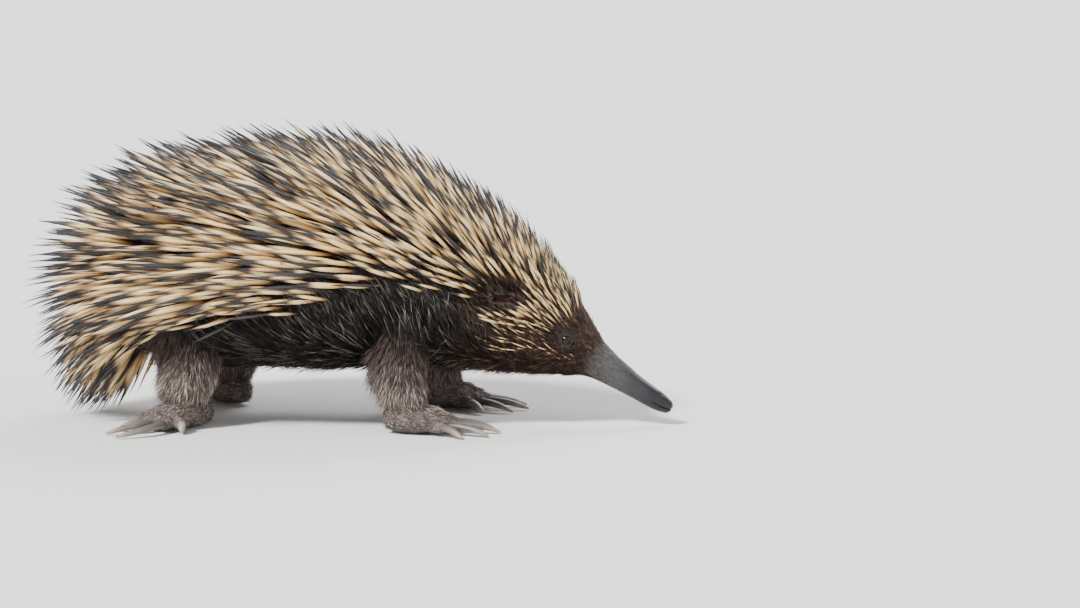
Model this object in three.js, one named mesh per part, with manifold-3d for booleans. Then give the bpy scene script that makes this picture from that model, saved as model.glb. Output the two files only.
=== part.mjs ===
// Life-size still model of a short-beaked echidna that stands on its four feet.
// Millimetres. +X points to the beak, +Y to the animal's left and +Z up, and the soles rest at z = 0.
import * as THREE from "three";
import { mergeVertices } from "three/addons/utils/BufferGeometryUtils.js";
import Module from "manifold-3d";

const wasm = await Module();
wasm.setup();

// Driving dimensions
const gap = 0.3; // between two nodes that touch
const sectionFullness = 0.06; // how much squarer than an ellipse the body's sections are
const bellyFullness = 0.08; // and how much more so below

// The body's line from the tail's tip to the beak's point:
// its place, then the body's half width, height above and depth below it
const bodyStations = {
  tailTip: { x: -144, z: 45, halfWidth: 4, above: 4, below: 4 },
  tailMiddle: { x: -137, z: 48, halfWidth: 10, above: 10, below: 8 },
  tailRoot: { x: -127, z: 53, halfWidth: 17, above: 17, below: 14 },
  rump: { x: -113, z: 60, halfWidth: 36, above: 36, below: 28 },
  haunch: { x: -88, z: 68, halfWidth: 56, above: 52, below: 41 },
  loin: { x: -48, z: 75, halfWidth: 67, above: 59, below: 47 },
  back: { x: -6, z: 77, halfWidth: 69, above: 59, below: 49 },
  shoulder: { x: 36, z: 73, halfWidth: 60, above: 53, below: 44 },
  neck: { x: 70, z: 66, halfWidth: 46, above: 42, below: 36 },
  crown: { x: 97, z: 57, halfWidth: 36, above: 33, below: 29 },
  brow: { x: 118, z: 48.5, halfWidth: 27, above: 24, below: 22 },
  face: { x: 132, z: 41, halfWidth: 17, above: 15.5, below: 15 },
  beakRoot: { x: 142, z: 35, halfWidth: 10.5, above: 10, below: 9.5 },
  beakMiddle: { x: 159, z: 24, halfWidth: 7.2, above: 6.8, below: 6.6 },
  beakEnd: { x: 174, z: 14.6, halfWidth: 5.9, above: 5.4, below: 5.3 },
  beakTip: { x: 180.5, z: 10.9, halfWidth: 4.5, above: 4, below: 3.9 },
  beakPoint: { x: 183.2, z: 9.4, halfWidth: 1.5, above: 1.3, below: 1.3 },
};

// The coat of spines at each place: how many degrees up the flank it begins, the spines' length,
// and how many degrees they spread from the line back along the body
const coat = {
  tailTip: { edge: -90, length: 36, spread: 10 },
  tailRoot: { edge: -90, length: 45, spread: 30 },
  rump: { edge: -12, length: 45, spread: 34 },
  haunch: { edge: 3, length: 46, spread: 32 },
  loin: { edge: 6, length: 46, spread: 30 },
  back: { edge: 12, length: 45, spread: 30 },
  shoulder: { edge: 26, length: 41, spread: 38 },
  neck: { edge: 36, length: 33, spread: 48 },
  crown: { edge: 20, length: 23, spread: 60 },
  brow: { edge: 12, length: 15, spread: 60 },
  face: { edge: 30, length: 9, spread: 54 },
};
const spine = {
  sides: 3,
  halfWidth: 2.1, // where the longest ones are widest
  widest: 0.4, // the share of its length where it is widest
  sunk: 0.28, // how far its pointed root runs on under the skin, as a share of its length
  lengthChance: 0.12,
  turnChance: 6, // degrees
  tried: [0, 5, -5, 10, 16], // degrees added to the spread until the spine stands clear
  clear: 0.35, // from the spines and nodes beside it
  margin: 6, // from the front end of its node
};
const bare = { ear: 14, eye: 8 }; // how far round the middle of each the skin grows no spines

// Places on the head: a station, the share of the way past it and the angle above the side
const eye = {
  station: "brow",
  past: 0.55,
  angle: 14,
  radius: 4.3,
  sunk: 2.3,
  lid: 1.5,
  lidShape: [1.12, 0.8],
};
const ear = {
  station: "crown",
  past: -0.2,
  angle: 24,
  halfLength: 12.5,
  halfWidth: 5.2,
  raised: 3.2,
  rooted: 3, // how deep it sits in the head
  lean: 20,
  slit: { halfLength: 9, halfWidth: 1.8, depth: 6 },
};
const nostril = { station: "beakEnd", past: 0.15, angle: 60, halfLength: 2, halfWidth: 0.8, depth: 1.3 };
const mouth = { length: 11, gape: 0.6, below: 1.2 };

const frontLeg = {
  limb: [
    { at: [40, 37, 54], half: [19, 17] },
    { at: [39, 45, 38], half: [17, 15] },
    { at: [43, 51, 22], half: [13.5, 12] },
    { at: [48, 53, 9], half: [12, 9.5] },
  ],
  foot: [
    { at: [34, 53, 8.5], half: [8, 8] },
    { at: [44, 53, 8.5], half: [13, 9.5] },
    { at: [56, 52.5, 7.5], half: [15, 8.5] },
    { at: [66, 52, 6], half: [12.5, 6.2] },
  ],
  toeCentre: [51, 52.5, 5.4],
  toeReach: [9, 17, 20],
  toeRadius: [4.4, 4.1, 3.1],
  heading: -5,
  toes: [
    { turn: -46, claw: 15, bend: 0 },
    { turn: -23, claw: 22, bend: 3 },
    { turn: 0, claw: 24, bend: 2 },
    { turn: 23, claw: 22, bend: -2 },
    { turn: 46, claw: 16, bend: -6 },
  ],
  clawHalf: [2.7, 2.1],
  clawDrop: 4.1,
};

const hindLeg = {
  limb: [
    { at: [-82, 38, 55], half: [21, 19] },
    { at: [-78, 46, 39], half: [18, 16] },
    { at: [-79, 52, 23], half: [14, 13] },
    { at: [-81, 54, 10], half: [11, 10] },
  ],
  foot: [
    { at: [-70, 44, 8.5], half: [7, 8] },
    { at: [-78, 52, 8.5], half: [11, 9.5] },
    { at: [-87, 61, 7.5], half: [13, 8.5] },
    { at: [-94, 68, 6], half: [11, 6.4] },
  ],
  toeCentre: [-83, 57, 5.4],
  toeReach: [8, 17, 20],
  toeRadius: [4.4, 4.1, 3.1],
  heading: 133,
  toes: [
    { turn: -62, claw: 5, bend: 0 },
    { turn: -34, claw: 33, bend: 62 },
    { turn: -9, claw: 26, bend: 44 },
    { turn: 14, claw: 14, bend: 22 },
    { turn: 38, claw: 9, bend: 12 },
  ],
  clawHalf: [2.5, 2.1],
  clawDrop: 4.1,
};

const claw = { steps: 4, sides: 6, tip: 0.28 }; // tip: the share of its half width left at its end

const colours = {
  coat: 0xd9c08a,
  fur: 0x2b221d,
  skin: 0x4a4541,
  foot: 0x6f635a,
  claw: 0xa79c8d,
  eye: 0x0b0a0a,
};

const left = new THREE.Vector3(0, 1, 0);
const degrees = Math.PI / 180;

// Joining and cutting

function toSolid(geometry) {
  geometry.deleteAttribute("normal");
  geometry.deleteAttribute("uv");
  const merged = mergeVertices(geometry, 1e-4);
  return new wasm.Manifold(
    new wasm.Mesh({
      numProp: 3,
      vertProperties: new Float32Array(merged.attributes.position.array),
      triVerts: new Uint32Array(merged.index.array),
    }),
  );
}

function toGeometry(solid) {
  const mesh = solid.getMesh();
  const geometry = new THREE.BufferGeometry();
  geometry.setAttribute("position", new THREE.BufferAttribute(mesh.vertProperties, 3));
  geometry.setIndex(new THREE.BufferAttribute(mesh.triVerts, 1));
  return geometry;
}

// The largest closed surface of a solid, which drops loose scraps and fills sealed hollows
function largest(solid) {
  return solid.decompose().reduce((best, body) => (body.volume() > best.volume() ? body : best));
}

// Closed geometry from rings of points that run round the line they are strung on
function closedTube(rings) {
  const sides = rings[0].length;
  const points = rings.flat();
  const faces = [];
  for (let ring = 0; ring + 1 < rings.length; ring++) {
    for (let side = 0; side < sides; side++) {
      const next = (side + 1) % sides;
      const [a, b] = [ring * sides + side, ring * sides + next];
      faces.push(a, b, b + sides, a, b + sides, a + sides);
    }
  }
  const middle = (ring) => ring.reduce((sum, p) => sum.add(p), new THREE.Vector3()).divideScalar(sides);
  points.push(middle(rings[0]), middle(rings.at(-1)));
  const lastRing = (rings.length - 1) * sides;
  for (let side = 0; side < sides; side++) {
    const next = (side + 1) % sides;
    faces.push(points.length - 2, next, side);
    faces.push(points.length - 1, lastRing + side, lastRing + next);
  }
  const geometry = new THREE.BufferGeometry().setFromPoints(points);
  geometry.setIndex(faces);
  return geometry;
}

// The body's line and its sections

const stationNames = Object.keys(bodyStations);
const stations = Object.values(bodyStations);
const curveThrough = (points) => new THREE.CatmullRomCurve3(points, false, "catmullrom");
const bodyLine = curveThrough(stations.map((s) => new THREE.Vector3(s.x, 0, s.z)));
bodyLine.arcLengthDivisions = 1600;
const bodySizes = curveThrough(stations.map((s) => new THREE.Vector3(s.halfWidth, s.above, s.below)));

// The share of the body's line at a station, or a part of the way past it
function lineAt(name, past = 0) {
  return (stationNames.indexOf(name) + past) / (stationNames.length - 1);
}

function bodyPoint(t, angle) {
  const size = bodySizes.getPoint(t);
  const along = bodyLine.getTangent(t);
  const up = new THREE.Vector3(-along.z, 0, along.x);
  const [cos, sin] = [Math.cos(angle), Math.sin(angle)];
  const fullness = sectionFullness + (sin < 0 ? bellyFullness * sin ** 2 : 0);
  const swell = 1 + fullness * Math.sin(2 * angle) ** 2;
  return bodyLine
    .getPoint(t)
    .addScaledVector(left, size.x * cos * swell)
    .addScaledVector(up, (sin > 0 ? size.y : size.z) * sin * swell);
}

function bodyNormal(t, angle) {
  const [stepT, stepAngle] = [0.002, 0.02];
  const round = bodyPoint(t, angle + stepAngle).sub(bodyPoint(t, angle - stepAngle));
  const forward = bodyPoint(t + stepT, angle).sub(bodyPoint(t - stepT, angle));
  return round.cross(forward).normalize();
}

// Places along the line, from one to another and at even distances
function evenPlaces(from, to, steps) {
  const lengths = bodyLine.getLengths();
  const distanceAt = (t) => lengths[Math.round(t * (lengths.length - 1))];
  const places = [from];
  for (let step = 1; step < steps; step++) {
    const distance = THREE.MathUtils.lerp(distanceAt(from), distanceAt(to), step / steps);
    places.push(bodyLine.getUtoTmapping(0, distance));
  }
  return [...places, to];
}

// One length of the body, whose first ring is moved on by a shift
function bodyLength({ from, to, steps, sides }, shift = 0) {
  const rings = evenPlaces(from, to, steps).map((t, step) =>
    Array.from({ length: sides }, (_, side) =>
      bodyPoint(t, (side / sides) * 2 * Math.PI).addScaledVector(bodyLine.getTangent(t), step ? 0 : shift)));
  return toSolid(closedTube(rings));
}

const partings = { tail: lineAt("tailRoot", 0.2), neck: lineAt("neck", 0.2), beak: lineAt("beakRoot") };
const lengthsOfBody = {
  tail: { from: 0, to: partings.tail, steps: 5, sides: 14 },
  torso: { from: partings.tail, to: partings.neck, steps: 18, sides: 27 },
  head: { from: partings.neck, to: partings.beak, steps: 12, sides: 28 },
  beak: { from: partings.beak, to: 1, steps: 12, sides: 14 },
};

// The coat

const coatNames = Object.keys(coat);

// The coat's values at a place on the line, between its two nearest stations
function coatAt(t) {
  const shares = coatNames.map((name) => lineAt(name));
  const past = shares.filter((share) => share < t).length;
  const after = THREE.MathUtils.clamp(past, 1, shares.length - 1);
  const [start, end] = [coat[coatNames[after - 1]], coat[coatNames[after]]];
  const mix = THREE.MathUtils.clamp((t - shares[after - 1]) / (shares[after] - shares[after - 1]), 0, 1);
  const between = (key) => THREE.MathUtils.lerp(start[key], end[key], mix);
  return Object.fromEntries(Object.keys(start).map((key) => [key, between(key)]));
}

// The same draws on every run, each from -1 to 1
let drawn = 20; // the seed
function chance() {
  drawn = (drawn * 16807) % 2147483647;
  return (2 * drawn) / 2147483647 - 1;
}

// A root in the middle of each facet that the coat covers, or of every second one
function spineRoots({ from, to, steps, sides }, facets) {
  const places = evenPlaces(from, to, steps);
  const roots = [];
  for (let step = 0; step < steps; step++) {
    for (let side = 0; side < sides; side++) {
      const thirds = [1, 2].filter((third) => facets === 2 || (step + side) % 2 === third - 1);
      for (const third of thirds) {
        const t = THREE.MathUtils.lerp(places[step], places[step + 1], third / 3);
        const angle = ((side + 1 - third / 3) / sides) * 2 * Math.PI;
        const height = Math.asin(Math.sin(angle)) / degrees;
        const fromEnd = bodyLine.getPoint(to).distanceTo(bodyLine.getPoint(t));
        const isCoat = height > coatAt(t).edge && t < lineAt("face");
        if (isCoat && fromEnd > spine.margin) roots.push({ t, angle });
      }
    }
  }
  return roots;
}

// A spine leans back from its root; extra and turn change its spread and its heading
function spineAt(root, extra, turn, size) {
  const here = coatAt(root.t);
  const forward = bodyLine.getTangent(root.t);
  const out = bodyNormal(root.t, root.angle);
  out.addScaledVector(forward, -out.dot(forward)).normalize();
  const spread = (here.spread + extra) * degrees;
  const aim = forward.clone().multiplyScalar(-Math.cos(spread)).addScaledVector(out, Math.sin(spread));
  aim.applyAxisAngle(out, turn * degrees);
  const length = here.length * size;
  const halfWidth = spine.halfWidth * Math.sqrt(length / coat.back.length);
  return { foot: bodyPoint(root.t, root.angle), aim, length, halfWidth };
}

// Points along a spine, each with the spine's half width there
const beadShares = [0.1, 0.25, 0.4, 0.55, 0.7, 0.85, 1];
const rootBeads = 2; // the ones that are too near the skin to be tested against it
function spineBeads(one) {
  const { widest, sunk } = spine;
  const thickAt = (share) => Math.min((share + sunk) / (widest + sunk), (1 - share) / (1 - widest));
  return beadShares.map((share) => ({
    at: one.foot.clone().addScaledVector(one.aim, one.length * share),
    halfWidth: one.halfWidth * thickAt(share),
  }));
}

// How far a point stands off the body's skin
function heightOffBody(point) {
  const steps = 80;
  const beside = 4; // sections this far ahead of the point or behind it count
  let height = Infinity;
  for (let step = 0; step <= steps; step++) {
    const t = step / steps;
    const centre = bodyLine.getPoint(t);
    const along = bodyLine.getTangent(t);
    const away = point.clone().sub(centre);
    const ahead = away.dot(along);
    if (Math.abs(ahead) > beside) continue;
    away.addScaledVector(along, -ahead);
    const size = bodySizes.getPoint(t);
    const up = away.dot(new THREE.Vector3(-along.z, 0, along.x));
    const angle = Math.atan2(up / (up > 0 ? size.y : size.z), away.y / size.x);
    height = Math.min(height, away.length() - bodyPoint(t, angle).distanceTo(centre));
  }
  return height;
}

function isBare(foot) {
  const isNear = (place, side, reach) => foot.distanceTo(surfacePoint(place, side)) < reach;
  return Object.values(sides).some((side) => isNear(ear, side, bare.ear) || isNear(eye, side, bare.eye));
}

function standsClear(beads, near) {
  const { clear } = spine;
  const onSkin = beads.slice(rootBeads).some((bead) => heightOffBody(bead.at) < bead.halfWidth + clear);
  const onFloor = beads.some((bead) => bead.at.z < bead.halfWidth + clear);
  const meets = (bead) =>
    near.some((other) => bead.at.distanceTo(other.at) < bead.halfWidth + other.halfWidth + clear);
  return !onSkin && !onFloor && !beads.some(meets);
}

const placed = []; // the beads of every spine so far

// The spines of one node, each turned clear of all that are there, or left out where it can't be
function growSpines(length, facets) {
  const grown = [];
  for (const root of spineRoots(length, facets)) {
    const turn = chance() * spine.turnChance;
    const size = 1 + chance() * spine.lengthChance;
    if (isBare(bodyPoint(root.t, root.angle))) continue;
    for (const extra of spine.tried) {
      const one = spineAt(root, extra, turn, size);
      const beads = spineBeads(one);
      const near = placed.filter((set) => set[0].at.distanceTo(beads[0].at) < 2 * coat.back.length).flat();
      if (!standsClear(beads, near)) continue;
      placed.push(beads);
      grown.push(spineSolid(one));
      break;
    }
  }
  return grown;
}

// Flat sides that widen from the sunk root and then taper to the tip
function spineSolid(one) {
  const profile = [
    [0, -spine.sunk * one.length],
    [one.halfWidth, spine.widest * one.length],
    [0, one.length],
  ];
  const shaft = new THREE.LatheGeometry(profile.map(([x, y]) => new THREE.Vector2(x, y)), spine.sides);
  const turn = new THREE.Quaternion().setFromUnitVectors(left, one.aim);
  return toSolid(shaft.applyQuaternion(turn).translate(one.foot.x, one.foot.y, one.foot.z));
}

// Limbs

// A tube of oval sections along a curve through the given places; grow widens it and lengthens its ends
function ovalTube(places, sideways, steps, sides, grow = 0) {
  const line = new THREE.CatmullRomCurve3(places.map((p) => new THREE.Vector3(...p.at)));
  const halves = new THREE.CatmullRomCurve3(places.map((p) => new THREE.Vector3(...p.half, 0)));
  const rings = [];
  for (let step = 0; step <= steps; step++) {
    const t = step / steps;
    const along = line.getTangent(t);
    const across = sideways.clone().addScaledVector(along, -sideways.dot(along)).normalize();
    const up = along.clone().cross(across);
    const centre = line.getPoint(t);
    if (step === 0) centre.addScaledVector(along, -grow);
    if (step === steps) centre.addScaledVector(along, grow);
    const half = halves.getPoint(t);
    const ring = [];
    for (let side = 0; side < sides; side++) {
      const angle = (side / sides) * 2 * Math.PI;
      ring.push(
        centre
          .clone()
          .addScaledVector(across, (half.x + grow) * Math.cos(angle))
          .addScaledVector(up, (half.y + grow) * Math.sin(angle)),
      );
    }
    rings.push(ring);
  }
  return toSolid(closedTube(rings));
}

// Mirrors a leg's values for the animal's right side
function onSide(place, side) {
  return { ...place, at: [place.at[0], place.at[1] * side, place.at[2]] };
}

function headingOf(angle, side) {
  return new THREE.Vector3(Math.cos(angle * degrees), side * Math.sin(angle * degrees), 0);
}

function toeSolid(leg, toe, side, grow) {
  const heading = headingOf(leg.heading + toe.turn, side);
  const centre = new THREE.Vector3(leg.toeCentre[0], leg.toeCentre[1] * side, leg.toeCentre[2]);
  const places = leg.toeReach.map((reach, end) => ({
    at: centre.clone().addScaledVector(heading, reach).toArray(),
    half: [leg.toeRadius[end], leg.toeRadius[end]],
  }));
  return ovalTube(places, new THREE.Vector3(-heading.y, heading.x, 0), 2, 7, grow);
}

// A claw starts a gap ahead of its toe's end, turns by its bend and drops towards the floor
function clawSolid(leg, toe, side) {
  const start = new THREE.Vector3(leg.toeCentre[0], leg.toeCentre[1] * side, leg.toeCentre[2]);
  start.addScaledVector(headingOf(leg.heading + toe.turn, side), leg.toeReach.at(-1) + gap);
  const places = [];
  for (let step = 0; step <= claw.steps; step++) {
    const share = step / claw.steps;
    const thick = Math.sqrt(1 - (1 - claw.tip ** 2) * share ** 2);
    places.push({ at: start.toArray(), half: leg.clawHalf.map((h) => h * thick) });
    const heading = headingOf(leg.heading + toe.turn + toe.bend * share, side);
    start.addScaledVector(heading, toe.claw / claw.steps);
    start.z -= (leg.clawDrop * 2 * share) / (claw.steps - 1);
  }
  const first = headingOf(leg.heading + toe.turn + toe.bend / 2, side);
  return ovalTube(places, new THREE.Vector3(-first.y, first.x, 0), claw.steps, claw.sides);
}

function legSolid(leg, side, grow = 0) {
  const footHeading = headingOf(leg.heading, side);
  const across = new THREE.Vector3(-footHeading.y, footHeading.x, 0);
  const limb = ovalTube(leg.limb.map((p) => onSide(p, side)), across, 6, 12, grow);
  const foot = ovalTube(leg.foot.map((p) => onSide(p, side)), across, 4, 12, grow);
  const toes = leg.toes.map((toe) => toeSolid(leg, toe, side, grow));
  return wasm.Manifold.union([limb, foot, ...toes]);
}

// What lies below the floor
const [groundSize, groundDepth] = [600, 60];
const ground = toSolid(
  new THREE.BoxGeometry(groundSize, groundSize, groundDepth).translate(0, 0, -groundDepth / 2));

// Eyes, ears, nostrils and mouth

// A frame on the body's surface: z along its normal, and x along the body towards the beak
function surfaceFrame(place, side) {
  const t = lineAt(place.station, place.past);
  const angle = side > 0 ? place.angle * degrees : Math.PI - place.angle * degrees;
  const normal = bodyNormal(t, angle);
  const forward = bodyLine.getTangent(t);
  forward.addScaledVector(normal, -forward.dot(normal)).normalize();
  const across = normal.clone().cross(forward);
  return new THREE.Matrix4().makeBasis(forward, across, normal).setPosition(bodyPoint(t, angle));
}

function surfacePoint(place, side) {
  return new THREE.Vector3().setFromMatrixPosition(surfaceFrame(place, side));
}

function eyeSolid(side, grow = 0) {
  const ball = new THREE.SphereGeometry(eye.radius + grow, 11, 8).translate(0, 0, -eye.sunk);
  return toSolid(ball.applyMatrix4(surfaceFrame(eye, side)));
}

function lidSolid(side) {
  const ring = new THREE.TorusGeometry(eye.radius, eye.lid, 5, 14).scale(...eye.lidShape, 1);
  return toSolid(ring.applyMatrix4(surfaceFrame(eye, side)));
}

function earFrame(side) {
  return surfaceFrame(ear, side).multiply(new THREE.Matrix4().makeRotationZ(-side * ear.lean * degrees));
}

function earSolid(side, grow = 0) {
  const rim = new THREE.SphereGeometry(1, 14, 8).scale(
    ear.halfLength + grow, ear.halfWidth + grow, ear.raised + ear.rooted + grow);
  return toSolid(rim.translate(0, 0, -ear.rooted).applyMatrix4(earFrame(side)));
}

// The cup of the ear, which opens as a slit along it
function earCup(side) {
  const { halfLength, halfWidth, depth } = ear.slit;
  const cup = new THREE.SphereGeometry(1, 10, 6).scale(halfLength, halfWidth, depth);
  return toSolid(cup.translate(0, 0, ear.raised).applyMatrix4(earFrame(side)));
}

function nostrilCut(side) {
  const hole = new THREE.SphereGeometry(1, 7, 5).scale(nostril.halfLength, nostril.halfWidth, nostril.depth);
  return toSolid(hole.applyMatrix4(surfaceFrame(nostril, side)));
}

// The line of the mouth, a level slit that parts the lips at the beak's point
function mouthCut() {
  const along = bodyLine.getTangent(1);
  const up = new THREE.Vector3(-along.z, 0, along.x);
  const slit = new THREE.BoxGeometry(2 * mouth.length, 20, mouth.gape).translate(0, 0, -mouth.below);
  const place = new THREE.Matrix4().makeBasis(along, left, up).setPosition(bodyLine.getPoint(1));
  return toSolid(slit.applyMatrix4(place));
}

// Building the nodes

const echidna = new THREE.Group();

function addNode(name, solid, colour, roughness = 0.85) {
  const mesh = new THREE.Mesh(
    toGeometry(solid),
    new THREE.MeshStandardMaterial({ color: colour, roughness, metalness: 0 }),
  );
  mesh.name = name;
  echidna.add(mesh);
}

const sides = { left: 1, right: -1 };
const legs = { front: frontLeg, hind: hindLeg };

const grownLegs = [];
for (const side of Object.values(sides)) {
  for (const leg of Object.values(legs)) grownLegs.push(legSolid(leg, side, gap));
}

// A core with its spines, clear of the cutters and of the body's next length, where their roots would reach
function coated(core, spines, next, cutters) {
  const joined = wasm.Manifold.union([core, ...spines]);
  return largest(joined.subtract(wasm.Manifold.union([bodyLength(lengthsOfBody[next]), ...cutters])));
}

const torsoSpines = growSpines(lengthsOfBody.torso, 2);
const torsoCore = bodyLength(lengthsOfBody.torso, gap);
addNode("torso", coated(torsoCore, torsoSpines, "head", grownLegs), colours.coat);
const tailSpines = growSpines(lengthsOfBody.tail, 1);
addNode("tail", coated(bodyLength(lengthsOfBody.tail), tailSpines, "torso", []), colours.coat);

const lids = Object.values(sides).map(lidSolid);
const headSockets = Object.values(sides).flatMap((side) => [eyeSolid(side, gap), earSolid(side, gap)]);
const headCore = wasm.Manifold.union([bodyLength(lengthsOfBody.head, gap), ...lids]);
const headSpines = growSpines(lengthsOfBody.head, 1);
addNode("head", coated(headCore, headSpines, "beak", headSockets), colours.fur);

const beakCuts = wasm.Manifold.union([mouthCut(), ...Object.values(sides).map(nostrilCut)]);
addNode("beak", largest(bodyLength(lengthsOfBody.beak, gap).subtract(beakCuts)), colours.skin, 0.55);

for (const [sideName, side] of Object.entries(sides)) {
  addNode(`eye_${sideName}`, eyeSolid(side), colours.eye, 0.1);
  addNode(`ear_${sideName}`, largest(earSolid(side).subtract(earCup(side))), colours.fur);
  for (const [legName, leg] of Object.entries(legs)) {
    addNode(`${legName}_leg_${sideName}`, largest(legSolid(leg, side).subtract(ground)), colours.foot);
    leg.toes.forEach((toe, digit) => {
      addNode(`claw_${legName}_${sideName}_${digit + 1}`, clawSolid(leg, toe, side), colours.claw, 0.5);
    });
  }
}

export default echidna;
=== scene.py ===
import math
import bpy
import numpy as np
from mathutils import Matrix, Vector, noise
from mathutils.bvhtree import BVHTree


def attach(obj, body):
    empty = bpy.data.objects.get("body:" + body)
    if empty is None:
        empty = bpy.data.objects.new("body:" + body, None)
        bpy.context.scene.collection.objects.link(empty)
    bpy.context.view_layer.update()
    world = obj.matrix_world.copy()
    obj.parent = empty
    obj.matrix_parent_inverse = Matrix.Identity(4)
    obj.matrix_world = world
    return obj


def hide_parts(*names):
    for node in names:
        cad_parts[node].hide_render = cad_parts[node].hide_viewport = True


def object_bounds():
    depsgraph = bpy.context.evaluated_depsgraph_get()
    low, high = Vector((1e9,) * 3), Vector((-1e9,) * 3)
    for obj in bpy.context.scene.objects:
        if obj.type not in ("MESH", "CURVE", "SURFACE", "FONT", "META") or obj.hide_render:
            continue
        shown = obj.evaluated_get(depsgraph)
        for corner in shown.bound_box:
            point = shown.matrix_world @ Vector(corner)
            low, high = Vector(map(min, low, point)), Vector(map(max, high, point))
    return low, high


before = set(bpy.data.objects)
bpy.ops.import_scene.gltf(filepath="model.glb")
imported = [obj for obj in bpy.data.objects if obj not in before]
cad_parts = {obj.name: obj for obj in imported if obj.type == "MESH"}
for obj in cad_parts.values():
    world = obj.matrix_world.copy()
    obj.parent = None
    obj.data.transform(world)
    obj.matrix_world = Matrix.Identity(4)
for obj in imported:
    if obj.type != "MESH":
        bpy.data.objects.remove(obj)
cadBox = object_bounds()
mm = 0.001
degree = math.pi / 180
print("frame loaded")


# Camera: the animal's right side, from a little above the floor

view = {
    "azimuth": 9,  # degrees round towards the face
    "elevation": 6,
    "distance": 2.1,
    "sensor": 36,
    "pixel": 0.56 * mm,  # the size of a pixel of the image at the animal
    "imageSize": (1080, 608),
    "animalAt": (345, 275),  # the pixel where the middle of its box is
}


def addCamera():
    azimuth, elevation = view["azimuth"] * degree, view["elevation"] * degree
    back = Vector((math.sin(azimuth) * math.cos(elevation), -math.cos(azimuth) * math.cos(elevation),
                   math.sin(elevation)))
    turn = (-back).to_track_quat("-Z", "Y")
    offset = [(size / 2 - at) * view["pixel"] for size, at in zip(view["imageSize"], view["animalAt"])]
    aim = (cadBox[0] + cadBox[1]) / 2 + turn @ Vector((offset[0], -offset[1], 0))
    bpy.ops.object.camera_add(location=aim + back * view["distance"], rotation=turn.to_euler())
    camera = bpy.context.object
    camera.data.sensor_width = view["sensor"]
    camera.data.lens = view["sensor"] * view["distance"] / (view["imageSize"][0] * view["pixel"])
    bpy.context.scene.camera = camera


addCamera()


# Small tools for meshes

def deselect():
    bpy.ops.object.select_all(action="DESELECT")


def activate(piece):
    deselect()
    piece.select_set(True)
    bpy.context.view_layer.objects.active = piece


def named(piece, name):
    piece.name = name
    piece.data.name = name
    return piece


def readPoints(piece):
    points = np.zeros(len(piece.data.vertices) * 3, np.float32)
    piece.data.vertices.foreach_get("co", points)
    return points.reshape(-1, 3).astype(float)


def writePoints(piece, points):
    piece.data.vertices.foreach_set("co", points.astype(np.float32).ravel())
    piece.data.update()


def setValues(mesh, name, values):
    mesh.attributes.new(name, "FLOAT", "POINT").data.foreach_set("value", values.astype(np.float32))


def inEditMode(piece, action):
    activate(piece)
    bpy.ops.object.mode_set(mode="EDIT")
    bpy.ops.mesh.select_all(action="SELECT")
    action()
    bpy.ops.object.mode_set(mode="OBJECT")


def applyModifier(piece, kind, **settings):
    activate(piece)
    modifier = piece.modifiers.new(kind.lower(), kind)
    for key, value in settings.items():
        setattr(modifier, key, value)
    bpy.ops.object.modifier_apply(modifier=modifier.name)


def joined(pieces, name):
    activate(pieces[0])
    for piece in pieces:
        piece.select_set(True)
    bpy.ops.object.join()
    return named(pieces[0], name)


def weld():
    bpy.ops.mesh.remove_doubles(threshold=1e-6)
    bpy.ops.mesh.normals_make_consistent(inside=False)


# A grid rolled into a closed tube: placeAt says where each point goes, by its shares round and along
def rolledGrid(name, columns, rows, placeAt):
    deselect()
    bpy.ops.mesh.primitive_grid_add(x_subdivisions=columns, y_subdivisions=rows, size=2)
    grid = named(bpy.context.object, name)
    flat = (readPoints(grid) + 1) / 2
    writePoints(grid, placeAt(flat[:, 0], flat[:, 1]))
    inEditMode(grid, weld)
    return grid


def unit(vectors):
    return vectors / np.maximum(np.linalg.norm(vectors, axis=-1, keepdims=True), 1e-12)


# Directions laid along a surface, and directions raised towards another by an angle
def laid(vectors, out):
    return unit(vectors - out * (vectors * out).sum(-1, keepdims=True))


def raised(vectors, out, tilt):
    return vectors * np.cos(tilt)[:, None] + out * np.sin(tilt)[:, None]


# Smooth chance from -1 to 1 that neighbours share, over lumps of a size
def drift(points, size, layer):
    return np.array([noise.noise(Vector(point / size) + Vector((0, 0, 37.0 * layer))) for point in points])


def smoothStep(low, high, value):
    share = np.clip((value - low) / (high - low), 0, 1)
    return share * share * (3 - 2 * share)


# Soft forms over a distance: 1 between two slopes, full up to one place and nothing past another, a ridge
def band(away, rise, top, edge, end):
    return smoothStep(rise, top, away) * (1 - smoothStep(edge, end, away))


def mound(away, height, full, none):
    return height * smoothStep(none, full, away)


def ridge(away, height, at, width):
    return height * np.exp(-((away - at) / width) ** 2)


# A smooth curve through points, and its direction, at shares of its length in points
def curveAt(points, share):
    points = np.asarray(points, float)
    last = len(points) - 1
    padded = np.vstack([2 * points[0] - points[1], points, 2 * points[last] - points[last - 1]])
    spot = np.clip(np.asarray(share, float), 0, 1) * last
    index = np.minimum(spot.astype(int), last - 1)
    w = (spot - index)[..., None]
    before, start, end, after = (padded[index + step] for step in range(4))
    leave, arrive = (end - start + start - before) / 2, (after - start) / 2
    bend, twist = 3 * (end - start) - 2 * leave - arrive, 2 * (start - end) + leave + arrive
    place = start + w * (leave + w * (bend + w * twist))
    return place, unit(leave + w * (2 * bend + w * 3 * twist))


# The body: its line and sections as in the solids, in mm, and how deep the skin lies in them
# columns: x, z, half width, height above the line, depth below it, skin depth

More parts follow.
